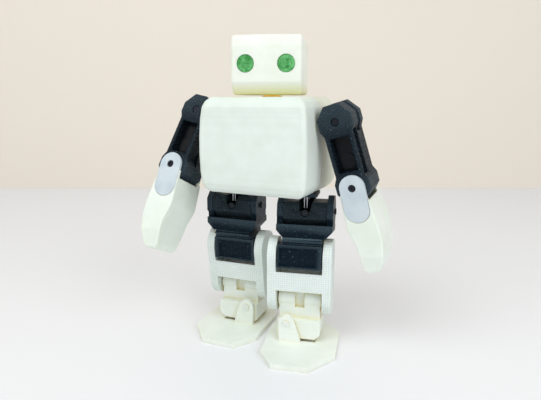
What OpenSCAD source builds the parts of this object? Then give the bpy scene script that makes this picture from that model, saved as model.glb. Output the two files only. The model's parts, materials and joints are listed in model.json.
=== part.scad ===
// Small two-legged robot kit: printed plastic links on hobby servos.
// Millimetres, +Z up, the robot faces -Y and its left hand is on +X.
// The origin lies on the floor under the middle of the standing robot.

/* [Stance] */
// Turn of the head towards the robot's left
head_turn = 17; // [-60:1:60]
// Outward toe turn of the left and right leg
hip_yaw_out = [13, -4]; // [-30:1:30]
// Lean of the bent leg segments, which sets one foot ahead of the other
stance_lean = 9; // [0:1:30]
// Backward swing of the left and right arm
arm_swing = [6, -25]; // [-90:1:60]
// Sideways lift of the left and right arm
arm_lift = [16, 12]; // [6:1:60]
// Inward bend of the left and right elbow
elbow_in = [3, 10]; // [-30:1:20]

/* [Torso] */
// Width of the torso covers
torso_w = 75.2; // [70:0.4:78]
// Height of the torso covers
torso_h = 61.5; // [60:0.5:66]
// Depth of the front cover ahead of the hip line
torso_front = 33.5; // [30:0.5:38]
// Depth of the back cover behind the hip line
torso_back = 27; // [24:0.5:32]
// Distance of the cover seam ahead of the hip line
torso_seam = 5.6; // [3:0.2:8]
// Thickness of the cover walls
wall = 2; // [1.6:0.2:2.4]

/* [Head] */
// Width of the head
head_w = 43.6; // [38:0.2:50]
// Height of the head
head_h = 35.6; // [30:0.2:42]
// Depth of the head
head_d = 52; // [44:1:56]
// Spacing of the eyes
eye_gap = 24.8; // [20:0.2:28]
// Diameter of an eye
eye_d = 10.8; // [8:0.2:12]

/* [Arms] */
// Distance of the shoulder joint from the middle
shoulder_x = 49.4; // [49.4:0.2:52]
// Length of the upper arm between its joints
arm_len = 41; // [40:0.5:44]
// Length of the forearm from its joint to the tip
forearm_len = 57; // [50:0.5:62]

/* [Legs] */
// Distance of a leg's middle plane from the robot's
leg_x = 23.8; // [23.6:0.2:26]
// Length of the thigh and of the shin between joints
leg_link = 30; // [29.5:0.5:31]
// Height of the ankle joint over the sole
ankle_h = 30; // [29:0.5:32]
// Thickness of the sole plate
sole_t = 3.2; // [3:0.2:3.6]

/* [Hidden] */
$fn = 48;

// Clearances: running fit, seat inside one body, gap between faces
run = 0.06;
seat = 0.03;
gap = 0.3;

// Heights of the main levels
hip_z = ankle_h + leg_link * (1 + cos(stance_lean));
torso_z = hip_z + 12.2;
torso_top = torso_z + torso_h;
head_z = torso_top + 1.1;
shoulder_z = torso_top - 13.6;
shoulder_y = -4.6;

// Middle of the standing robot's footprint, moved to the origin
footprint = [4.9, -14];

// Head shape
head_front = -28.2;
head_bulge = 1.6;
head_edge = 4.5;
chin_h = 8.5;
chin_back = 3.5;
eye_z = 18.6;
eye_y = head_front + head_bulge * pow(eye_gap / head_w, 2) + 0.9;

// Torso shape: corner radius, and how far its sides and its ends draw in
torso_r = 3.2;
torso_barrel = 1.4;
torso_shoulder = 3;
torso_steps = [-1, -0.94, -0.85, -0.6, -0.2, 0.2, 0.6, 0.85, 0.94, 1];

// Servo case: across, along and deep, with the shaft's place from one end
servo = [12, 23, 20];
servo_end = 5.8;

// Leg shape
hip_shift = 2.4;
pitch_y = -2.5;
hip_half = 14.2;
plate_t = 3.9;
knee_half = 14.5;
shin_half = 21.1;
shin_in = 15.3;
shin_r = 11.8;
foot_pivot = [-7.7, -13.8];
pin_r = 1.2;
shin_pin_r = 1.5;
head_r = 2.1;
hip_pitch = [-stance_lean, 0];
knee_bend = [stance_lean, stance_lean];
ankle_bend = [0, -stance_lean];

// Arm shape: faces of the arm along its joint axis
arm_front = -13;
arm_back = 8;
slot_half = 2.5;
cap_t = 2.5;

// ---- colours ----
module white_plastic() { color("#f0f4ea") children(); }
module cream_plastic() { color("#e2e2c4") children(); }
module black_plastic() { color("#1c2a34") children(); }
module servo_case() { color("#14181c") children(); }
module metal() { color("#b8bcc0") children(); }

// ---- helpers ----
function arm_i(side) = side > 0 ? 0 : 1;

// A box between two corners
module span(low, high) {
  translate(low) cube(high - low);
}

// A round bar along X, Y or Z between two places on its axis
module bar_x(r, x0, x1) { translate([x0, 0, 0]) rotate([0, 90, 0]) cylinder(r = r, h = x1 - x0); }
module bar_y(r, y0, y1) { translate([0, y1, 0]) rotate([90, 0, 0]) cylinder(r = r, h = y1 - y0); }
module bar_z(r, z0, z1) { translate([0, 0, z0]) cylinder(r = r, h = z1 - z0); }

// A pan-head screw along X or Y: its tip, the underside of its head and the head's height
module screw_x(tip, under, head = 0.9) {
  out = sign(under - tip);
  difference() {
    union() {
      bar_x(pin_r, min(tip, under), max(tip, under));
      bar_x(head_r, min(under, under + out * head), max(under, under + out * head));
    }
    translate([under + out * (head - 0.3), -0.3, -1.3]) cube([0.6, 0.6, 2.6], center = false);
  }
}
module screw_y(tip, under, head = 0.9) { rotate([0, 0, 90]) screw_x(tip, under, head); }

// An outline in X and Z, given as [x, z] points, made solid from y0 to y1
module slab_y(y0, y1) {
  translate([0, y1, 0]) rotate([90, 0, 0]) linear_extrude(y1 - y0) children();
}

// An outline in Y and Z, given as [y, z] points, made solid from x0 to x1
module slab_x(x0, x1) {
  translate([x0, 0, 0]) rotate([90, 0, 90]) linear_extrude(x1 - x0) children();
}

// ---- frames of the moving bodies ----
module robot() { translate([-footprint[0], -footprint[1], 0]) children(); }

module mirrored(side) { mirror([side < 0 ? 1 : 0, 0, 0]) children(); }

module head_frame() { robot() rotate([0, 0, head_turn]) translate([0, 0, head_z]) children(); }

module hub_frame(side) {
  robot() mirrored(side) translate([shoulder_x, shoulder_y, shoulder_z])
    rotate([arm_swing[arm_i(side)], 0, 0]) children();
}
module arm_frame(side) { hub_frame(side) rotate([0, -arm_lift[arm_i(side)], 0]) children(); }
module forearm_frame(side) {
  arm_frame(side) translate([0, 0, -arm_len]) rotate([0, elbow_in[arm_i(side)], 0]) children();
}

module hip_frame(side) {
  robot() mirrored(side) translate([leg_x + hip_shift, 0, hip_z])
    rotate([0, 0, hip_yaw_out[arm_i(side)]]) children();
}
module thigh_place(side) {
  hip_frame(side) translate([-hip_shift, pitch_y, 0]) rotate([hip_pitch[arm_i(side)], 0, 0]) children();
}
module shin_place(side) {
  thigh_place(side) translate([0, 0, -leg_link]) rotate([knee_bend[arm_i(side)], 0, 0]) children();
}
module ankle_place(side) {
  shin_place(side) translate([0, 0, -leg_link]) rotate([ankle_bend[arm_i(side)], 0, 0]) children();
}

// ---- torso ----
module torso_solid(inset = 0) {
  middle = torso_z + torso_h / 2;
  reach = torso_h / 2 - torso_r;
  hull() for (t = torso_steps, x = [-1, 1]) {
    drawn = torso_barrel * pow(t + 0.15, 2) + torso_shoulder * pow(abs(t), 14);
    for (y = [-torso_front + torso_r + drawn * 0.8, torso_back - torso_r - drawn * 0.8])
      translate([x * (torso_w / 2 - torso_r - drawn), y, middle + t * reach])
        sphere(torso_r - inset, $fn = 20);
  }
}

module torso_shell() {
  difference() {
    torso_solid();
    torso_solid(wall);
    for (x = [-1, 1]) {
      translate([x * (leg_x + hip_shift), 0, 0]) bar_z(4.4, torso_z - 1, torso_z + wall + 1);
    }
    translate([0, shoulder_y, shoulder_z]) bar_x(4, -torso_w, torso_w);
    bar_z(6.9, torso_top - wall - 1, torso_top + 1);
  }
}

module torso_front_cover() {
  white_plastic() robot() difference() {
    torso_shell();
    span([-torso_w, -torso_seam, 0], [torso_w, torso_back + 1, torso_top + 1]);
  }
}

module torso_back_cover() {
  cream_plastic() robot() difference() {
    torso_shell();
    span([-torso_w, -torso_front - 1, 0], [torso_w, -torso_seam + 0.2, torso_top + 1]);
    back_screw_places() bar_y(head_r + seat, -1.2, 1);
    back_screw_places() bar_y(pin_r + seat, -4, 1);
  }
}

module back_screw_places() {
  for (x = [-24, 24], z = [torso_z + 9, torso_top - 14])
    translate([x, torso_back, z]) children();
}

module back_screws() {
  metal() robot() back_screw_places() translate([0, -1.15, 0]) screw_y(-6, 0);
}

// Inner frame: floor, two sides and a roof that carry the servos and the neck
side_plate = [31.8, 33.6];
module chassis_frame() {
  black_plastic() robot() difference() {
    union() {
      span([-30.6, -11, torso_z + 2.3], [30.6, 19, torso_z + 4.3]);
      for (side = [-1, 1]) mirrored(side) {
        span([side_plate[0], -12, torso_z + 6.4], [side_plate[1], 9, torso_top - 8]);
        span([29, -11, torso_z + 4], [side_plate[0] + 0.2, -6.4, torso_z + 9]);
      }
      span([-32, -12, torso_top - 8], [32, 9, torso_top - 6]);
    }
    for (side = [-1, 1]) translate([side * (leg_x + hip_shift), 0, 0])
      bar_z(4 + run, torso_z, torso_z + 5);
    translate([0, shoulder_y, shoulder_z]) bar_x(3.5 + run, -torso_w, torso_w);
    bar_z(5 + run, torso_top - 9, torso_top);
    for (side = [-1, 1]) mirrored(side) translate([0, -1, torso_z + 22])
      rotate([0, 90, 0]) bar_z(7, 0, torso_w);
  }
}

module battery_pack() {
  color("#3b6ea8") robot() {
    span([-15, -29, torso_z + 6], [15, -13, torso_z + 40]);
  }
}

module control_board() {
  color("#1f6b3a") robot() {
    span([-20, 20.5, torso_z + 9], [20, 22, torso_z + 47]);
    span([-6, 17.5, torso_z + 24], [6, 20.5, torso_z + 36]);
    for (x = [-16, -8, 0, 8, 16])
      span([x - 2.6, 14.5, torso_z + 10], [x + 2.6, 20.5, torso_z + 15]);
    for (x = [-1, 1])
      span([x * 15 - 2.5, 17, torso_z + 40], [x * 15 + 2.5, 20.5, torso_z + 45]);
  }
}

module neck_collar() {
  cream_plastic() robot() difference() {
    union() {
      bar_z(6.6, torso_top - 5.8, torso_top + 0.7);
      bar_z(8.4, torso_top - 5.8, torso_top - wall - 0.4);
    }
    bar_z(5 + run, torso_top - 7, torso_top + 2);
  }
}

// Servo cases with the shaft pointing to -Z at the origin
module shoulder_servo(side) {
  servo_case() robot() mirrored(side) translate([side_plate[0] - 0.5, shoulder_y, shoulder_z])
    rotate([-90, 0, 0]) rotate([0, -90, 0]) servo_body_tall();
}
module servo_body_tall() {
  span([-servo[0] / 2, -servo_end + 0.6, 0.2], [servo[0] / 2, servo[1] - servo_end + 0.6, servo[2]]);
  bar_z(4.6, -0.3, 0.2);
}

module hip_servo(side) {
  servo_case() robot() mirrored(side) translate([leg_x + hip_shift, 0, torso_z + 4.8])
    servo_body_short();
}
module servo_body_short() {
  span([-servo[0] / 2, -servo_end, 0.3], [servo[0] / 2 - 0.6, servo[1] - servo_end - 5, servo[2] + 1]);
  bar_z(4.6, -0.3, 0.3);
}

// ---- head ----
module head_solid(inset = 0) {
  r = head_edge - inset;
  half = head_w / 2 - head_edge;
  rear = head_front + head_d - head_edge;
  hull() {
    for (i = [-2:2]) {
      x = i / 2 * half;
      y = head_front + head_edge + head_bulge * pow(i / 2, 2);
      translate([x, y + 1.5, head_h - head_edge]) sphere(r, $fn = 20);
      translate([x, y, head_h - head_edge - 5]) sphere(r, $fn = 20);
      translate([x, y, chin_h]) sphere(r, $fn = 20);
      translate([x, y + chin_back, head_edge]) sphere(r, $fn = 20);
    }
    for (i = [-1, 1]) {
      translate([i * half, rear, head_h - head_edge]) sphere(r, $fn = 20);
      translate([i * half, rear, head_edge]) sphere(r, $fn = 20);
    }
  }
}

head_hole = [[-14, -17], [14, 17]];
module head_shell() {
  white_plastic() head_frame() difference() {
    head_solid();
    head_solid(wall);
    span([head_hole[0][0], head_hole[0][1], -1], [head_hole[1][0], head_hole[1][1], wall + 1]);
    for (x = [-1, 1]) translate([x * eye_gap / 2, 0, eye_z])
      bar_y(eye_d / 2 + seat, head_front - 5, eye_y + 3);
  }
}

module head_base() {
  cream_plastic() head_frame() {
    span([head_hole[0][0] + 0.1, head_hole[0][1] + 0.1, 0.1],
         [head_hole[1][0] - 0.1, head_hole[1][1] - 0.1, wall]);
    bar_z(5, -head_z + torso_top - 9, 0.3);
  }
}

module eye_board() {
  color("#1f6b3a") head_frame() {
    span([-17, eye_y + 3.2, eye_z - 7], [17, eye_y + 4.8, eye_z + 7]);
    for (x = [-1, 1]) translate([x * eye_gap / 2, 0, eye_z])
      bar_y(1.8, eye_y + 1.7, eye_y + 3.2);
  }
}

module eye(side) {
  color("#4fa85c") head_frame() translate([side * eye_gap / 2, 0, eye_z])
    bar_y(eye_d / 2, eye_y - 0.3, eye_y + 1.6);
}

// ---- arm ----
// Hub: a round shaft into the torso and a flat tongue that carries the lifting joint
tongue_half = slot_half - 0.2;
module shoulder_hub(side) {
  black_plastic() hub_frame(side) difference() {
    union() {
      bar_x(3.5, -shoulder_x + side_plate[0] + 0.2, -12);
      intersection() {
        bar_x(3.5, -12.1, -6);
        span([-13, -tongue_half, -4], [0, tongue_half, 4]);
      }
      bar_y(7, -tongue_half, tongue_half);
    }
    bar_y(pin_r + run, -3, 3);
  }
}

// Outline of the upper arm: an eight-sided head, a straight shank, an eight-sided elbow
arm_half = 11;
shank_half = 9;
end_flat = 4.8;
end_h = 10.5;
module arm_outline() {
  joint_end = [[end_flat, end_h], [arm_half, 3], [arm_half, -3.5], [shank_half, -7.5]];
  side_points = concat(joint_end, [for (i = [3:-1:0]) [joint_end[i][0], -arm_len - joint_end[i][1]]]);
  polygon(concat(side_points, [for (i = [7:-1:0]) [-side_points[i][0], side_points[i][1]]]));
}

window_top = -9.6;
window_bottom = -31;
module arm_window(y0, y1, grow = 0) {
  span([-6 - grow, y0, window_bottom - grow], [6 + grow, y1, window_top + grow]);
}

module arm_front(side) {
  black_plastic() arm_frame(side) difference() {
    slab_y(arm_front, -slot_half) arm_outline();
    arm_window(arm_front - 1, 0, 0.15);
    span([7.2, arm_front + 1.6, 6.5 - arm_len], [12, -4.6, -6.5]);
    bar_y(pin_r + seat, arm_front - 1, 0);
    bar_y(head_r + 0.3, arm_front - 1, arm_front + 1.6);
    translate([0, 0, -arm_len]) bar_y(pin_r + seat, arm_front - 1, -5);
  }
}

module arm_rear(side) {
  black_plastic() arm_frame(side) difference() {
    slab_y(-slot_half + 0.1, arm_back) arm_outline();
    arm_window(-4, arm_back - 1.8, 0.15);
    intersection() {
      bar_y(13, -slot_half - 1, slot_half);
      span([-13, -5, -9.2], [13, 5, 13]);
    }
    bar_y(pin_r + seat, 0, arm_back + 1);
    bar_y(head_r + 0.3, arm_back - 1.6, arm_back + 1);
    translate([0, 0, -arm_len]) bar_y(pin_r + seat, 2, arm_back + 1);
  }
}

module arm_servo(side) {
  servo_case() arm_frame(side) {
    difference() {
      arm_window(arm_front + 5.6, arm_back - 2);
      for (x = [-4.6, 4.6], z = [window_top - 1.6, window_bottom + 1.6])
        translate([x, 0, z]) bar_y(0.6, arm_front + 5, arm_front + 6.4);
    }
    translate([0, 0, window_bottom + 6]) bar_y(4.6, arm_front + 4.8, arm_front + 5.6);
  }
}

module arm_screws(side) {
  metal() arm_frame(side) difference() {
    union() {
      bar_y(pin_r, arm_front + 1, arm_back - 1);
      bar_y(head_r, arm_front + 0.5, arm_front + 1.5);
      bar_y(head_r, arm_back - 1.5, arm_back - 0.5);
    }
    bar_y(0.7, arm_front, arm_front + 1.1);
    bar_y(0.7, arm_back - 1.1, arm_back);
  }
}

// Forearm: gauntlet with a waist before the hand, seen from the front
module forearm_outline(inset = 0) {
  tip = -forearm_len;
  offset(r = 1.2 - inset) offset(delta = -1.2) polygon([
    [-8.8, 6], [-8.8, tip + 31], [-5.2, tip + 19], [-4.6, tip + 3.5], [-2.5, tip], [4.2, tip],
    [6.8, tip + 3.2], [9.8, tip + 11], [11.6, tip + 21], [11.4, tip + 30], [9.4, tip + 43], [8, -5], [8, 6]
  ]);
}

// The same gauntlet seen from the side
module forearm_profile(inset = 0) {
  tip = -forearm_len;
  offset(r = 2.5 - inset) offset(delta = -2.5) polygon([
    [-15.7, 12], [-15.7, tip + 12], [-13.2, tip], [8.5, tip], [12.5, tip + 16],
    [13.6, tip + 34], [12.6, -7], [10.9, 12]
  ]);
}

module forearm_body(inset = 0) {
  intersection() {
    slab_y(-20, 20) forearm_outline(inset);
    slab_x(-20, 20) forearm_profile(inset);
  }
}

module cap_outline(r) {
  hull() {
    circle(r);
    translate([0, -14]) circle(r);
  }
}

module forearm_shell(side) {
  cap_seat = 8.15;
  white_plastic() forearm_frame(side) difference() {
    forearm_body();
    intersection() {
      forearm_body(1.8);
      span([-20, -13.3, -60], [20, 30, 0]);
    }
    bar_y(12.1, arm_front - 0.2, arm_back + gap);
    span([-20, arm_front - 0.2, -7.6], [20, arm_back + gap, 20]);
    slab_y(-20, arm_front - 0.2) cap_outline(cap_seat);
    span([-20, -20, -3.6], [20, arm_front, 20]);
    difference() {
      span([-20, arm_back, -7], [20, 20, 20]);
      bar_y(8, arm_back - 1, 21);
      span([-8, arm_back - 1, -8], [8, 21, 0]);
    }
    bar_y(pin_r + run, arm_back - 1, 21);
    bar_y(head_r + 0.4, arm_back + 2.4, 21);
  }
}

module elbow_cap(side) {
  color("#c4d0d4") forearm_frame(side) difference() {
    slab_y(arm_front - 0.2 - cap_t, arm_front - 0.2) cap_outline(8);
    bar_y(pin_r + run, -20, 0);
    bar_y(head_r + 0.3, -20, arm_front - 1.5);
  }
}

module elbow_screws(side) {
  metal() arm_frame(side) translate([0, 0, -arm_len]) difference() {
    union() {
      bar_y(pin_r, arm_front - 1.8, -6);
      bar_y(head_r, arm_front - 2.6, arm_front - 1.7);
      bar_y(pin_r, 3, arm_back + 2.6);
      bar_y(head_r, arm_back + 2.5, arm_back + 3.4);
    }
    bar_y(0.8, arm_front - 3, arm_front - 1.9);
    bar_y(0.8, arm_back + 2.7, arm_back + 4);
  }
}

// ---- hip ----
// Turning bracket under the torso, with a lug behind the hip block
lug_y = [5.4, 7.4];
lug_r = 4.2;
roll_pin_r = 1.8;
module hip_bracket(side) {
  black_plastic() hip_frame(side) difference() {
    union() {
      bar_z(4, 11.5, 16.2);
      span([-7.5, -8.6, 9.9], [7.5, 8, 11.9]);
      span([-lug_r - 0.6, lug_y[0], 0], [lug_r + 0.6, lug_y[1], 11]);
      bar_y(lug_r, lug_y[0], lug_y[1]);
    }
    bar_y(roll_pin_r + run, lug_y[0] - 1, lug_y[1] + 1);
  }
}

module hip_pins(side) {
  metal() hip_frame(side) {
    for (x = [-0.9, 0.9]) translate([x, -7.2, 0]) bar_z(0.45, 2.2, 9.9);
    bar_z(1.9, 6.9, 9.9);
  }
}

// Hip block: eight-sided along X, with a slot on top for the turning shaft
block_r = 9.6;
module hip_block(side) {
  black_plastic() hip_frame(side) {
    difference() {
      translate([0, pitch_y, 0]) rotate([22.5, 0, 0])
        bar_x(block_r / cos(22.5), -hip_half, hip_half, $fn = 8);
      span([-20, -20, 6.8], [20, 20, 20]);
      span([-20, lug_y[0] - gap, -20], [20, 20, 20]);
      hip_slot();
      translate([0, pitch_y, 0]) bar_x(pin_r + seat, -20, 20);
      bar_y(head_r + 0.4, -20, pitch_y - block_r + 1.2);
    }
    bar_y(roll_pin_r, lug_y[0] - gap - 0.2, lug_y[1] + 0.8);
  }
}

// Slot on top of the hip block, flared so that the block can roll about the shaft
module hip_slot() {
  slab_y(-20, 20) polygon([[-3.3, 0.8], [3.3, 0.8], [4.8, 8], [-4.8, 8]]);
}

module hip_screws(side) {
  metal() hip_frame(side) {
    translate([0, pitch_y, 0]) {
      for (end = [-1, 1]) mirrored(end) screw_x(8, hip_half + plate_t + 0.6);
    }
    translate([0, pitch_y - block_r + 1.2, 0]) bar_y(head_r, -0.9, 0);
  }
}

// ---- thigh ----
lip_z = -9.2;
module thigh_plate(x0, x1, flat) {
  slab_x(x0, x1) {
    rotate(22.5) circle(flat / cos(22.5), $fn = 8);
    translate([-8.6, -10]) square([17.2, 6]);
  }
}

module thigh_frame(side) {
  out = hip_half + gap + plate_t;
  in_x = hip_half + gap;
  black_plastic() thigh_place(side) difference() {
    union() {
      translate([hip_shift, 0, 0]) {
        thigh_plate(in_x, out, 10.4);
        thigh_plate(-out, -in_x, 9.4);
        span([-out, -10.5, -17.9], [out, 10, lip_z]);
      }
      span([-knee_half + 0.4, -11, -22.4], [knee_half - 0.4, 9.4, -17.8]);
      span([-knee_half, -11.6, -20.6], [knee_half, 9.8, -19.4]);
    }
    translate([hip_shift, 0, 0]) bar_x(11.3, -in_x, in_x);
    for (end = [-1, 1]) translate([hip_shift, 0, 0]) mirrored(end)
      slab_y(-20, 20) polygon([[out + 0.1, -13], [out + 0.1, -25], [out - 4.4, -25], [out - 4.4, -17.9]]);
    bar_x(pin_r + run, -40, 40);
  }
}

module knee_case(side) {
  servo_case() thigh_place(side) translate([0, 0, -leg_link]) difference() {
    union() {
      span([-knee_half, -12.2, -7.9], [knee_half, 9.6, 7.3]);
      span([-knee_half + 3, -10, 7.2], [knee_half - 3, 8, 7.5]);
    }
    span([-knee_half + 1.6, -13, -6.2], [knee_half - 3.4, -11.7, 5.2]);
    bar_x(shin_pin_r + seat, -20, 20);
  }
}

module knee_pins(side) {
  metal() thigh_place(side) translate([0, 0, -leg_link])
    for (end = [-1, 1]) mirrored(end) bar_x(shin_pin_r, 8, shin_half - 1.5);
}

// ---- shin ----
module shin_frame(side) {
  white_plastic() shin_place(side) difference() {
    union() {
      for (end = [-1, 1]) mirrored(end) {
        bar_xs(shin_r, shin_in, shin_half, 0);
        span([shin_in, -shin_r, -leg_link + 1], [shin_half, shin_r, 0]);
        bar_xs(shin_r, shin_in, shin_half, -leg_link + 2.2);
      }
      span([-shin_in - 0.5, -shin_r, -22], [shin_in + 0.5, shin_r, -9]);
    }
    bar_x(14.9, -shin_in, shin_in);
    for (z = [0, -leg_link])
      translate([0, 0, z]) bar_x(shin_pin_r + run, 1.3 - shin_half, shin_half - 1.3);
    span([-40, -20, -leg_link - 20], [40, 20, -leg_link - 9.2]);
  }
}
module bar_xs(r, x0, x1, z) { translate([0, 0, z]) bar_x(r, x0, x1); }

// ---- ankle ----
module ankle_block(side) {
  half = 14.3;
  white_plastic() ankle_place(side) difference() {
    union() {
      bar_x(6.7, -half, half);
      span([-half + 0.6, -6, -14], [half - 0.6, 5.4, -3]);
      slab_y(-10.5, 10.4) polygon([[-half, -12.5], [half, -12.5], [half, -22], [half - 3.4, -25.4],
                                   [-half + 1, -25.4], [-half, -24.4]]);
    }
    span([-3.2, -10, -5.4], [3.4, -3.2, 8]);
    bar_x(shin_pin_r + seat, -20, 20);
    translate([foot_pivot[0], 0, foot_pivot[1]]) bar_y(pin_r + seat, -20, 20);
    span([-11.5, -7.6, -24], [12, 12, -13.4]);
  }
}

module ankle_servo(side) {
  servo_case() ankle_place(side) difference() {
    span([-11.4, -7.4, -23.9], [11.9, 10.2, -14.1]);
    translate([foot_pivot[0], 0, foot_pivot[1]]) bar_y(pin_r + seat + 0.02, -20, 20);
  }
}

module ankle_pins(side) {
  metal() ankle_place(side)
    for (end = [-1, 1]) mirrored(end) bar_x(shin_pin_r, 8, shin_half - 1.5);
}

// ---- foot ----
module sole_outline() {
  polygon([
    [-11.9, -44.4], [11.3, -44.4], [26, -25.6], [26, 7.4], [11.3, 26.2], [-11.9, 26.2],
    [-21.8, 11], [-21.8, -29.2]
  ]);
}

module foot_tab(y0, y1) {
  slab_y(y0, y1) hull() {
    translate(foot_pivot) circle(5.2, $fn = 32);
    translate([-12.6, -ankle_h + sole_t - 0.2]) square([14.2, 1]);
  }
}

module foot(side) {
  white_plastic() ankle_place(side) difference() {
    union() {
      translate([0, 0, -ankle_h]) linear_extrude(sole_t) sole_outline();
      foot_tab(-13.8, -10.8);
      foot_tab(10.7, 13.7);
    }
    span([-2.6, -10.9, -ankle_h + 1.2], [11.4, 10.8, -ankle_h + 5]);
    translate([foot_pivot[0], 0, foot_pivot[1]]) bar_y(pin_r + run, -20, 20);
  }
}

module foot_screws(side) {
  metal() ankle_place(side) translate([foot_pivot[0], 0, foot_pivot[1]]) {
    screw_y(-8, -14);
    screw_y(8, 13.9);
  }
}

torso_front_cover();
torso_back_cover();
chassis_frame();
battery_pack();
control_board();
neck_collar();
back_screws();
shoulder_servo(1);  // shoulder_servo_left
shoulder_servo(-1);  // shoulder_servo_right
hip_servo(1);  // hip_servo_left
hip_servo(-1);  // hip_servo_right
head_shell();
head_base();
eye_board();
eye(1);  // eye_left
eye(-1);  // eye_right
shoulder_hub(1);  // shoulder_hub_left
arm_front(1);  // arm_front_left
arm_rear(1);  // arm_rear_left
arm_servo(1);  // arm_servo_left
arm_screws(1);  // arm_screws_left
forearm_shell(1);  // forearm_shell_left
elbow_cap(1);  // elbow_cap_left
elbow_screws(1);  // elbow_screws_left
shoulder_hub(-1);  // shoulder_hub_right
arm_front(-1);  // arm_front_right
arm_rear(-1);  // arm_rear_right
arm_servo(-1);  // arm_servo_right
arm_screws(-1);  // arm_screws_right
forearm_shell(-1);  // forearm_shell_right
elbow_cap(-1);  // elbow_cap_right
elbow_screws(-1);  // elbow_screws_right
hip_bracket(1);  // hip_bracket_left
hip_pins(1);  // hip_pins_left
hip_block(1);  // hip_block_left
hip_screws(1);  // hip_screws_left
thigh_frame(1);  // thigh_frame_left
knee_case(1);  // knee_case_left
knee_pins(1);  // knee_pins_left
shin_frame(1);  // shin_frame_left
ankle_block(1);  // ankle_block_left
ankle_servo(1);  // ankle_servo_left
ankle_pins(1);  // ankle_pins_left
foot(1);  // foot_left
foot_screws(1);  // foot_screws_left
hip_bracket(-1);  // hip_bracket_right
hip_pins(-1);  // hip_pins_right
hip_block(-1);  // hip_block_right
hip_screws(-1);  // hip_screws_right
thigh_frame(-1);  // thigh_frame_right
knee_case(-1);  // knee_case_right
knee_pins(-1);  // knee_pins_right
shin_frame(-1);  // shin_frame_right
ankle_block(-1);  // ankle_block_right
ankle_servo(-1);  // ankle_servo_right
ankle_pins(-1);  // ankle_pins_right
foot(-1);  // foot_right
foot_screws(-1);  // foot_screws_right
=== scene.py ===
"""Looks of the small printed humanoid robot kit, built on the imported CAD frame."""

import json
import math

import bmesh
import bpy
from mathutils import Matrix, Vector


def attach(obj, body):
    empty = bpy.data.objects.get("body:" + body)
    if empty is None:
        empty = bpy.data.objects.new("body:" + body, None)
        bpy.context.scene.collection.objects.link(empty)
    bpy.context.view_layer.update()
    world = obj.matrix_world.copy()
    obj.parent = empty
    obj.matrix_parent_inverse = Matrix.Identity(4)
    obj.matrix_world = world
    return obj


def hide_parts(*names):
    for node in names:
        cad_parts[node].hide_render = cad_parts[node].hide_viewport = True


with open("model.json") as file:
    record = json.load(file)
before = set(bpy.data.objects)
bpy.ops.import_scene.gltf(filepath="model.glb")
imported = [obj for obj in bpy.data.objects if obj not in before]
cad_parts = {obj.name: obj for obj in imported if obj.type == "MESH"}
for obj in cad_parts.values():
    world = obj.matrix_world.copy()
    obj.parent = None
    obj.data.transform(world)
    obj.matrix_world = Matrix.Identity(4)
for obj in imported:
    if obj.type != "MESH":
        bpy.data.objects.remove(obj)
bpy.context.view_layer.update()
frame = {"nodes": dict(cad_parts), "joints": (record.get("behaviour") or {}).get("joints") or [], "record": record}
NODES = frame["nodes"]
JOINTS = {j["name"]: j for j in frame["joints"]}
BODY_OF = {n: b for b, members in frame["record"]["behaviour"]["bodies"].items() for n in members}
MM = 0.001
WELD = 0.002 * MM
SIDES = ("left", "right")


# ---- camera ----
def add_camera():
    data = bpy.data.cameras.new("camera")
    data.lens = 32.86
    data.sensor_width = 36.0
    data.clip_start = 0.01
    cam = bpy.data.objects.new("camera", data)
    bpy.context.scene.collection.objects.link(cam)
    cam.location = Vector((137.2, -288.05, 162.5)) * MM
    look = Vector((-0.4195, 0.8850, -0.2021))
    cam.rotation_euler = look.to_track_quat("-Z", "Y").to_euler()
    bpy.context.scene.camera = cam
    return cam


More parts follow.
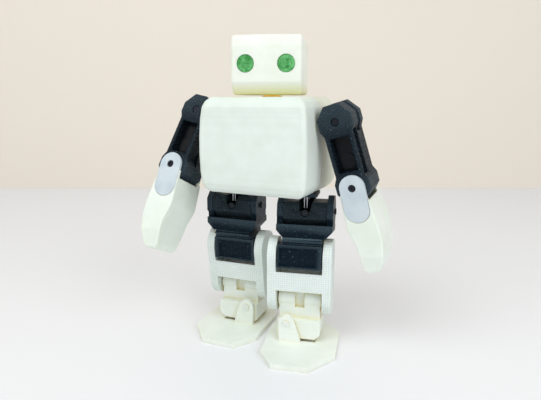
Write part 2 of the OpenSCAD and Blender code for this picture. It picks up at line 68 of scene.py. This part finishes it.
# ---- materials ----
class Nodes:
    """Short calls for building one material's node tree."""

    def __init__(self, name):
        self.mat = bpy.data.materials.new(name)
        self.mat.use_nodes = True
        self.tree = self.mat.node_tree
        self.bsdf = self.tree.nodes["Principled BSDF"]
        self.coords = self.tree.nodes.new("ShaderNodeTexCoord").outputs["Object"]

    def link(self, value, socket):
        if isinstance(value, bpy.types.NodeSocket):
            self.tree.links.new(value, socket)
        else:
            socket.default_value = value

    def math(self, operation, a, b=0.0):
        n = self.tree.nodes.new("ShaderNodeMath")
        n.operation = operation
        self.link(a, n.inputs[0])
        self.link(b, n.inputs[1])
        return n.outputs[0]

    def along(self, direction):
        """Distance along a direction, in metres, in the piece's own frame."""
        n = self.tree.nodes.new("ShaderNodeVectorMath")
        n.operation = "DOT_PRODUCT"
        self.link(self.coords, n.inputs[0])
        n.inputs[1].default_value = Vector(direction).normalized()
        return n.outputs["Value"]

    def wave(self, distance, pitch):
        """Rounded ridges from 0 to 1, one every pitch metres."""
        turned = self.math("MULTIPLY", distance, 2 * math.pi / pitch)
        return self.remap(self.math("SINE", turned), -1, 1, 0, 1)

    def remap(self, value, low, high, to_low, to_high):
        n = self.tree.nodes.new("ShaderNodeMapRange")
        self.link(value, n.inputs["Value"])
        n.inputs["From Min"].default_value = low
        n.inputs["From Max"].default_value = high
        n.inputs["To Min"].default_value = to_low
        n.inputs["To Max"].default_value = to_high
        return n.outputs["Result"]

    def noise(self, scale, detail=2.0, rough=0.5, line=None):
        n = self.tree.nodes.new("ShaderNodeTexNoise")
        if line is not None:
            n.noise_dimensions = "1D"
            self.link(line, n.inputs["W"])
        else:
            self.link(self.coords, n.inputs["Vector"])
        n.inputs["Scale"].default_value = scale
        n.inputs["Detail"].default_value = detail
        n.inputs["Roughness"].default_value = rough
        return n.outputs["Fac"]

    def speckle(self, scale):
        n = self.tree.nodes.new("ShaderNodeTexVoronoi")
        self.link(self.coords, n.inputs["Vector"])
        n.inputs["Scale"].default_value = scale
        return n.outputs["Distance"]

    def mix(self, factor, a, b, blend="MIX"):
        n = self.tree.nodes.new("ShaderNodeMix")
        n.data_type = "RGBA"
        n.blend_type = blend
        self.link(factor, n.inputs[0])
        for socket, value in ((n.inputs[6], a), (n.inputs[7], b)):
            self.link(value if isinstance(value, bpy.types.NodeSocket) else (*value, 1.0), socket)
        return n.outputs[2]

    def recess(self, distance):
        """1 in tight gaps and corners, 0 on open faces."""
        n = self.tree.nodes.new("ShaderNodeAmbientOcclusion")
        n.samples = 8
        n.inputs["Distance"].default_value = distance
        return self.math("SUBTRACT", 1.0, n.outputs["AO"])

    def edges(self):
        """1 on convex edges, where a highlight is painted; 0 elsewhere."""
        n = self.tree.nodes.new("ShaderNodeNewGeometry")
        return self.remap(n.outputs["Pointiness"], 0.52, 0.62, 0, 1)

    def bump(self, height, strength, distance):
        n = self.tree.nodes.new("ShaderNodeBump")
        n.inputs["Strength"].default_value = strength
        n.inputs["Distance"].default_value = distance
        self.link(height, n.inputs["Height"])
        self.link(n.outputs["Normal"], self.bsdf.inputs["Normal"])


def srgb(r, g, b):
    """A display colour from 0 to 255 as linear light."""
    return tuple(
        c / 255 / 12.92 if c <= 10 else ((c / 255 + 0.055) / 1.055) ** 2.4 for c in (r, g, b)
    )


def add(m, *values):
    total = values[0]
    for v in values[1:]:
        total = m.math("ADD", total, v)
    return total


def scaled(m, value, k):
    return m.math("MULTIPLY", value, k)


def printed_white(name, layers, tint=(1.0, 1.0, 1.0), pitch=0.3, stitch=None, ridges=0.5, glow=0.6, low=None):
    """White printed plastic: layer lines, uneven milky colour, a painted warm glow in the gaps, optional painted
    shade low down.
    """
    m = Nodes(name)
    d = m.along(layers)
    base, milky, warm = (tuple(c * t for c, t in zip(srgb(*rgb), tint))
                         for rgb in ((246, 248, 243), (238, 241, 233), (246, 226, 150)))
    cloud = m.noise(55.0, 3.0, 0.55)
    colour = m.mix(m.remap(cloud, 0.35, 0.65, 0, 1), milky, base)
    # Painted shade: between the two given heights the colour fades downwards to a darker tone.
    if low:
        lowest, highest, painted_shade_colour = low
        painted_shade_mask = m.remap(m.along(UP), lowest * MM, highest * MM, 1, 0)
        colour = m.mix(painted_shade_mask, colour, srgb(*painted_shade_colour))
    bands = m.noise(1.0, 3.0, 0.6, line=m.math("MULTIPLY", d, 620.0))
    fine = m.wave(d, pitch * MM)
    shade = m.remap(add(m, scaled(m, bands, 0.75), scaled(m, fine, 0.25)), 0.25, 0.75, 0.965, 1.0)
    tone = m.tree.nodes.new("ShaderNodeCombineColor")
    for socket in tone.inputs:
        m.link(shade, socket)
    colour = m.mix(1.0, colour, tone.outputs[0], "MULTIPLY")
    # Painted glow: tight gaps and corners are mixed towards warm yellow, standing in for light shining through the
    # plastic.
    painted_glow_mask = m.math("POWER", m.recess(5 * MM), 1.8)
    colour = m.mix(scaled(m, painted_glow_mask, glow), colour, warm)
    height = add(m, scaled(m, fine, 0.35), scaled(m, bands, ridges), scaled(m, m.noise(2600.0, 2.0), 0.3))
    if stitch:
        across, up, size = stitch
        dots = m.math("MULTIPLY", m.wave(m.along(across), size * MM), m.wave(m.along(up), size * MM))
        height = add(m, height, scaled(m, dots, 5.0))
        # Painted shade: the hollows between the raised dots are darkened to a bluish grey.
        colour = m.mix(m.remap(dots, 0.0, 0.4, 0.45, 0.0), colour, srgb(192, 208, 212))
    m.link(colour, m.bsdf.inputs["Base Color"])
    m.bump(height, 0.55, 0.00007)
    rough = m.remap(add(m, scaled(m, cloud, 0.6), scaled(m, m.noise(900.0), 0.4)), 0.3, 0.7, 0.36, 0.52)
    m.link(rough, m.bsdf.inputs["Roughness"])
    m.bsdf.inputs["Subsurface Weight"].default_value = 0.28
    m.bsdf.inputs["Subsurface Radius"].default_value = (1.0, 0.95, 0.72)
    m.bsdf.inputs["Subsurface Scale"].default_value = 0.0024
    m.bsdf.inputs["IOR"].default_value = 1.46
    return m.mat


def printed_black(name, layers, pitch=0.45, across=None, hatch=None, base=(16, 29, 38), gloss=0.36,
                  shine=0.22):
    """Blue-black printed plastic: ridged layers, glossy flecks, a painted highlight on convex edges."""
    m = Nodes(name)
    d = m.along(layers)
    deep = srgb(*base)
    lit = srgb(*(c + 9 for c in base))
    bands = m.noise(1.0, 3.0, 0.65, line=m.math("MULTIPLY", d, 900.0))
    fine = m.wave(d, pitch * MM)
    cloud = m.noise(160.0, 4.0, 0.6)
    colour = m.mix(m.remap(add(m, scaled(m, bands, 0.6), scaled(m, cloud, 0.4)), 0.35, 0.65, 0, 1), deep, lit)
    # Painted highlight: convex edges are mixed towards a pale blue grey.
    colour = m.mix(scaled(m, m.edges(), 0.5), colour, srgb(112, 134, 146))
    chips = m.remap(m.noise(760.0, 3.0, 0.7), 0.64, 0.7, 0, 0.6)
    colour = m.mix(chips, colour, srgb(120, 142, 152))
    m.link(colour, m.bsdf.inputs["Base Color"])
    height = add(m, scaled(m, fine, 0.8), scaled(m, bands, 0.9), scaled(m, m.noise(2200.0, 2.0), 0.35))
    if across:
        rows = m.wave(m.along(across), 1.1 * MM)
        height = add(m, height, scaled(m, m.math("MULTIPLY", rows, m.wave(d, 1.1 * MM)), 3.4))
    if hatch:
        one = m.wave(m.along(hatch[0]), 1.5 * MM)
        two = m.wave(m.along(hatch[1]), 1.5 * MM)
        height = add(m, height, scaled(m, m.math("MAXIMUM", one, two), 3.4))
    m.bump(height, 1.0, 0.00018)
    flecks = m.remap(m.noise(520.0, 2.0), 0.62, 0.72, 0, 1)
    rough = m.remap(add(m, scaled(m, m.noise(1300.0), 0.5), scaled(m, bands, 0.5)), 0.3, 0.7,
                    gloss - 0.06, gloss + 0.14)
    m.link(m.math("SUBTRACT", rough, scaled(m, flecks, 0.18)), m.bsdf.inputs["Roughness"])
    m.bsdf.inputs["Specular IOR Level"].default_value = shine
    return m.mat


def moulded(name, colour, low, high, specks=1200.0):
    """Moulded case or board: fine grain and a slightly uneven sheen."""
    m = Nodes(name)
    cloud = m.noise(120.0, 3.0)
    dark = srgb(*(max(0, c - 8) for c in colour))
    m.link(m.mix(m.remap(cloud, 0.35, 0.65, 0, 1), dark, srgb(*colour)), m.bsdf.inputs["Base Color"])
    m.bump(m.noise(specks, 3.0), 0.35, 0.00003)
    m.link(m.remap(m.noise(600.0), 0.3, 0.7, low, high), m.bsdf.inputs["Roughness"])
    return m.mat


def steel(name, light=(196, 199, 203), dark=(140, 144, 150)):
    """Screws and pins: turned lines and small marks."""
    m = Nodes(name)
    marks = m.noise(2600.0, 4.0, 0.7)
    m.link(m.mix(m.remap(marks, 0.4, 0.7, 0, 1), srgb(*light), srgb(*dark)), m.bsdf.inputs["Base Color"])
    m.bsdf.inputs["Metallic"].default_value = 1.0
    m.link(m.remap(m.noise(900.0, 3.0), 0.3, 0.7, 0.2, 0.42), m.bsdf.inputs["Roughness"])
    m.bump(m.noise(5200.0, 2.0), 0.25, 0.00002)
    return m.mat


def eye_green(name):
    """Green insert with pale and dark print swirls."""
    m = Nodes(name)
    swirl = m.noise(330.0, 5.0, 0.65)
    cells = m.speckle(700.0)
    colour = m.mix(m.remap(swirl, 0.38, 0.62, 0, 1), srgb(44, 132, 58), srgb(104, 186, 112))
    colour = m.mix(m.remap(cells, 0.0, 0.35, 0.75, 0.0), colour, srgb(34, 104, 48))
    m.link(colour, m.bsdf.inputs["Base Color"])
    m.bump(add(m, swirl, cells), 0.6, 0.00012)
    m.link(m.remap(swirl, 0.3, 0.7, 0.25, 0.5), m.bsdf.inputs["Roughness"])
    return m.mat


def cap_plastic(name, layers):
    """Bluish milky cap over the elbow."""
    m = Nodes(name)
    d = m.along(layers)
    cloud = m.noise(90.0, 3.0)
    colour = m.mix(m.remap(cloud, 0.35, 0.65, 0, 1), srgb(190, 202, 209), srgb(205, 215, 220))
    m.link(colour, m.bsdf.inputs["Base Color"])
    m.bump(add(m, scaled(m, m.wave(d, 0.3 * MM), 0.5), scaled(m, m.noise(1800.0), 0.5)), 0.45, 0.00006)
    m.link(m.remap(cloud, 0.3, 0.7, 0.36, 0.5), m.bsdf.inputs["Roughness"])
    m.bsdf.inputs["Subsurface Weight"].default_value = 0.3
    m.bsdf.inputs["Subsurface Radius"].default_value = (0.8, 0.95, 1.0)
    m.bsdf.inputs["Subsurface Scale"].default_value = 0.002
    return m.mat


# ---- meshes ----
def mesh_from(bm, name):
    mesh = bpy.data.meshes.new(name)
    bm.to_mesh(mesh)
    bm.free()
    return mesh


def new_object(name, mesh, material):
    for poly in mesh.polygons:
        poly.use_smooth = True
    mesh.materials.clear()
    mesh.materials.append(material)
    obj = bpy.data.objects.new(name, mesh)
    bpy.context.scene.collection.objects.link(obj)
    return obj


def cleaned(node):
    """A CAD node's mesh with its split corners joined and flat faces made whole."""
    bm = bmesh.new()
    bm.from_mesh(NODES[node].data)
    bmesh.ops.remove_doubles(bm, verts=bm.verts, dist=WELD)
    bmesh.ops.dissolve_degenerate(bm, edges=bm.edges, dist=WELD)
    bmesh.ops.dissolve_limit(bm, angle_limit=math.radians(0.8), verts=bm.verts, edges=bm.edges)
    return bm


def apply_modifiers(obj):
    graph = bpy.context.evaluated_depsgraph_get()
    mesh = bpy.data.meshes.new_from_object(obj.evaluated_get(graph))
    obj.modifiers.clear()
    obj.data = mesh
    return obj


def eased(node, material, width=0.3, steps=2, angle=28):
    """The CAD node again, with its sharp printed edges eased."""
    bm = cleaned(node)
    limit = math.radians(angle)
    sharp = [e for e in bm.edges if len(e.link_faces) == 2 and e.calc_face_angle(0) > limit]
    bmesh.ops.bevel(bm, geom=sharp, offset=width * MM, segments=steps, profile=0.5,
                    affect="EDGES", clamp_overlap=True)
    obj = new_object(node + "_look", mesh_from(bm, node + "_look"), material)
    obj.modifiers.new("normals", "WEIGHTED_NORMAL").keep_sharp = True
    apply_modifiers(obj)
    place(obj, node)
    return obj


def softened(node, material, voxel=0.42, rounds=5):
    """The CAD node with softly rounded edges, as a thick print comes out."""
    bm = cleaned(node)
    bmesh.ops.triangulate(bm, faces=bm.faces)
    obj = new_object(node + "_look", mesh_from(bm, node + "_look"), material)
    remesh = obj.modifiers.new("remesh", "REMESH")
    remesh.mode = "VOXEL"
    remesh.voxel_size = voxel * MM
    remesh.use_smooth_shade = True
    smooth = obj.modifiers.new("smooth", "SMOOTH")
    smooth.factor = 0.5
    smooth.iterations = rounds
    apply_modifiers(obj)
    place(obj, node)
    return obj


def place(obj, node):
    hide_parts(node)
    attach(obj, BODY_OF[node])


def rounded_hull(balls, rings=20, spokes=40):
    """The hull of some balls, each (centre, radius) in millimetres."""
    bm = bmesh.new()
    for centre, radius in balls:
        bmesh.ops.create_uvsphere(bm, u_segments=spokes, v_segments=rings, radius=radius * MM,
                                  matrix=Matrix.Translation(Vector(centre) * MM))
    bmesh.ops.delete(bm, geom=bm.faces, context="FACES_ONLY")
    bmesh.ops.delete(bm, geom=bm.edges, context="EDGES_FACES")
    found = bmesh.ops.convex_hull(bm, input=bm.verts, use_existing_faces=False)
    loose = {g for g in found["geom_interior"] + found["geom_unused"] if isinstance(g, bmesh.types.BMVert)}
    bmesh.ops.delete(bm, geom=list(loose), context="VERTS")
    bmesh.ops.dissolve_limit(bm, angle_limit=math.radians(0.3), verts=bm.verts, edges=bm.edges)
    return bm


def boolean(obj, cutter):
    mod = obj.modifiers.new("cut", "BOOLEAN")
    mod.operation = "DIFFERENCE"
    mod.solver = "EXACT"
    mod.object = cutter
    apply_modifiers(obj)
    bpy.data.objects.remove(cutter)


def cutter_from(bm, matrix=Matrix.Identity(4)):
    """An object that boolean() cuts with and then removes."""
    bm.transform(matrix)
    obj = bpy.data.objects.new("cutter", mesh_from(bm, "cutter"))
    bpy.context.scene.collection.objects.link(obj)
    return obj


def cylinder(radius, low, high, spokes=64):
    """A cylinder between two points, in millimetres."""
    low, high = Vector(low) * MM, Vector(high) * MM
    bm = bmesh.new()
    turn = (high - low).to_track_quat("Z", "Y").to_matrix().to_4x4()
    bmesh.ops.create_cone(bm, cap_ends=True, segments=spokes, radius1=radius * MM, radius2=radius * MM,
                          depth=(high - low).length, matrix=Matrix.Translation((low + high) / 2) @ turn)
    return bm


def block(low, high):
    """A box between two corners, in millimetres."""
    low, high = Vector(low) * MM, Vector(high) * MM
    bm = bmesh.new()
    size = Matrix.Diagonal((*(high - low), 1.0))
    bmesh.ops.create_cube(bm, size=1.0, matrix=Matrix.Translation((low + high) / 2) @ size)
    return bm


HEAD_AT = (-4.9, 14.0, 164.4)
HEAD_TURN = 17
HEAD_OPENING = ((-14, -17, -1), (14, 17, 3))


def build_head():
    """The head shell with crisper printed edges than its CAD solid."""
    width, depth, height = 43.6, 52.0, 35.6
    front, bulge, edge, chin_back, chin_h = -28.2, 1.6, 2.4, 3.5, 8.5
    wall_t, eye_x, eye_z, eye_r = 2.0, 12.4, 18.6, 5.43
    half = width / 2 - edge
    rear = front + depth - edge
    centres = []
    for i in (-2, -1, 0, 1, 2):
        x, y = i / 2 * half, front + edge + bulge * (i / 2) ** 2
        centres += [(x, y + 1.1, height - edge), (x, y, height - edge - 4.5), (x, y, chin_h)]
        centres.append((x, y + chin_back, edge))
    for x in (-half, half):
        centres += [(x, rear, height - edge), (x, rear, edge)]
    at = Matrix.Translation(Vector(HEAD_AT) * MM) @ Matrix.Rotation(math.radians(HEAD_TURN), 4, "Z")
    bm = rounded_hull([(c, edge) for c in centres])
    bm.transform(at)
    obj = new_object("head_shell_visual", mesh_from(bm, "head_shell_visual"), WHITE["head"])
    boolean(obj, cutter_from(rounded_hull([(c, edge - wall_t) for c in centres]), at))
    boolean(obj, cutter_from(block(*HEAD_OPENING), at))
    for x in (-eye_x, eye_x):
        boolean(obj, cutter_from(cylinder(eye_r, (x, front - 5, eye_z), (x, front + 6, eye_z)), at))
    for poly in obj.data.polygons:
        poly.use_smooth = True
    obj.data.set_sharp_from_angle(angle=math.radians(35))
    place(obj, "head_shell")


# ---- the looks ----
def joint_axis(name):
    return Vector(JOINTS[name]["axis"])


UP = Vector((0, 0, 1))
BACK = Vector((0, 1, 0))
SIDEWAYS = Vector((1, 0, 0))


def build_plain():
    """Every node with eased edges and its own print direction."""
    screws = steel("plated_steel")
    dark_screws = steel("blackened_steel", (52, 56, 62), (24, 27, 31))
    case = moulded("servo_case_black", (6, 13, 19), 0.4, 0.6)
    case.node_tree.nodes["Principled BSDF"].inputs["Specular IOR Level"].default_value = 0.2
    board = moulded("board_green", (30, 92, 52), 0.3, 0.45)
    battery = moulded("battery_wrap_blue", (50, 92, 150), 0.2, 0.35)
    # Painted glow: the neck collar and head base get a strong yellow tint, standing in for light shining through
    # the plastic in the neck gap.
    collar_glow = printed_white("collar_glow_print", UP, tint=(1.0, 0.84, 0.42), glow=0.4)
    base = printed_white("neck_glow_print", UP, tint=(1.0, 0.86, 0.5), glow=0.5)
    # Painted glow: both parts emit a weak warm light though they are no lamp.
    for lit in (collar_glow, base):
        shader = lit.node_tree.nodes["Principled BSDF"]
        shader.inputs["Emission Color"].default_value = (*srgb(206, 182, 70), 1.0)
        shader.inputs["Emission Strength"].default_value = 0.3
    for node in NODES:
        if node in HAND_BUILT:
            continue
        side = next((s for s in SIDES if node.endswith(s)), None)
        if node.startswith("foot_screws"):
            eased(node, WHITE["ankle_" + side], 0.15)
        elif node.startswith("hip_pins"):
            eased(node, screws, 0.12)
        elif "screws" in node or "pins" in node:
            eased(node, dark_screws, 0.15)
        elif "servo" in node:
            eased(node, case, 0.3)
        elif node in ("control_board", "eye_board"):
            eased(node, board, 0.12)
        elif node == "battery_pack":
            eased(node, battery, 2.2, 4)
        elif node == "chassis_frame":
            eased(node, BLACK["arm_left"], 0.3)
        elif node == "torso_back_cover":
            eased(node, WHITE["torso_rear"], 0.3)
        elif node.startswith("neck_collar"):
            eased(node, collar_glow, 0.3)
        elif node.startswith("head_base"):
            eased(node, base, 0.25)
        elif node.startswith(("shoulder_hub", "arm_front", "arm_rear")):
            eased(node, BLACK["arm_" + side], 0.35)
        elif node.startswith(("hip_bracket", "hip_block")):
            eased(node, BLACK["hip_" + side], 0.35)
        elif node.startswith(("thigh_frame", "knee_case")):
            eased(node, BLACK["thigh_" + side], 0.4)
        elif node.startswith("shin_frame"):
            eased(node, WHITE["shin_" + side], 0.9, 3)
        elif node.startswith("ankle_block"):
            eased(node, WHITE["ankle_" + side], 0.4)
        elif node.startswith("foot_"):
            eased(node, WHITE["foot_" + side], 0.45)
        elif node.startswith("elbow_cap"):
            eased(node, WHITE["cap_" + side], 0.45, 3)
        elif node.startswith("eye_"):
            eased(node, EYE, 0.5, 3)
        elif node.startswith("forearm_shell"):
            softened(node, WHITE["forearm_" + side])
        else:
            eased(node, WHITE["torso"], 0.3)


HAND_BUILT = {"head_shell"}
BLACK, WHITE = {}, {}
WHITE["torso"] = printed_white("torso_print", BACK, tint=(0.86, 0.92, 0.9), glow=0.35)
WHITE["torso_rear"] = printed_white("torso_rear_print", BACK, tint=(0.9, 0.91, 0.8), glow=0.35)
# The head's lower part fades to a darker yellowish colour: painted shade on the downward-facing chin.
WHITE["head"] = printed_white("head_print", UP, tint=(0.97, 0.99, 0.94), glow=0.5,
                              low=(165.5, 172.0, (228, 226, 172)))
EYE = eye_green("eye_green")
for s in SIDES:
    arm = joint_axis("shoulder_roll_" + s)
    leg = joint_axis("hip_pitch_" + s)
    BLACK["arm_" + s] = printed_black(f"arm_{s}_print", arm, hatch=(UP + SIDEWAYS, UP - SIDEWAYS),
                                      base=(0, 17, 28), gloss=0.4, shine=0.16)
    # The hip blocks get a darker base colour than the thighs and arms: painted shade from the torso above them.
    BLACK["hip_" + s] = printed_black(f"hip_{s}_print", leg, across=UP, base=(0, 4, 9), gloss=0.34,
                                      shine=0.06)
    BLACK["thigh_" + s] = printed_black(f"thigh_{s}_print", leg, across=UP, base=(0, 20, 33),
                                        gloss=0.38, shine=0.14)
    WHITE["shin_" + s] = printed_white(f"shin_{s}_print", leg, tint=(0.93, 0.975, 0.97),
                                       stitch=(leg, UP, 1.5), glow=0.75)
    WHITE["ankle_" + s] = printed_white(f"ankle_{s}_print", leg, glow=1.25, tint=(0.94, 0.965, 0.94))
    WHITE["foot_" + s] = printed_white(f"foot_{s}_print", UP, tint=(0.955, 0.985, 0.965), glow=0.5)
    WHITE["forearm_" + s] = printed_white(f"forearm_{s}_print", arm, tint=(0.93, 0.97, 0.93), glow=0.5)
    WHITE["cap_" + s] = cap_plastic(f"cap_{s}_print", arm)
build_plain()
build_head()


# ---- floor, wall and light ----
def plane(name, size, matrix, material):
    bm = bmesh.new()
    bmesh.ops.create_grid(bm, x_segments=1, y_segments=1, size=size)
    bm.transform(matrix)
    obj = new_object(name, mesh_from(bm, name), material)
    return obj


def plain(name, colour, rough):
    m = Nodes(name)
    cloud = m.noise(6.0, 2.0)
    dark = tuple(c * 0.985 for c in srgb(*colour))
    m.link(m.mix(cloud, dark, srgb(*colour)), m.bsdf.inputs["Base Color"])
    m.bsdf.inputs["Roughness"].default_value = rough
    return m.mat


def area_light(name, place_at, target, size, power, colour):
    data = bpy.data.lights.new(name, "AREA")
    data.shape = "DISK"
    data.size = size
    data.energy = power
    data.color = colour
    obj = bpy.data.objects.new(name, data)
    bpy.context.scene.collection.objects.link(obj)
    obj.location = place_at
    obj.rotation_euler = (Vector(target) - Vector(place_at)).to_track_quat("-Z", "Y").to_euler()
    return obj


def build_stage(cam):
    plane("floor", 3.0, Matrix.Identity(4), plain("floor_pale", (240, 241, 244), 0.5))
    look = Vector((-0.4195, 0.8850, 0)).normalized()
    wall_at = Vector((cam.location.x, cam.location.y, 0)) + look * 0.897
    turn = look.to_track_quat("Z", "Y").to_matrix().to_4x4()
    plane("backdrop", 3.0, Matrix.Translation(wall_at) @ turn, plain("backdrop_pale", (241, 232, 219), 0.9))
    world = bpy.data.worlds.new("soft_room")
    bpy.context.scene.world = world
    world.use_nodes = True
    background = world.node_tree.nodes["Background"]
    background.inputs["Color"].default_value = (0.97, 0.98, 1.0, 1.0)
    background.inputs["Strength"].default_value = 0.62
    area_light("key_light", (-0.28, -0.62, 0.95), (0, 0, 0.09), 0.8, 4.7, (0.965, 1.0, 0.98))
    area_light("fill_light", (0.75, -0.35, 0.55), (0, 0, 0.08), 0.7, 3.2, (0.95, 0.98, 1.0))
    bpy.context.scene.view_settings.view_transform = "Standard"


camera = add_camera()
build_stage(camera)
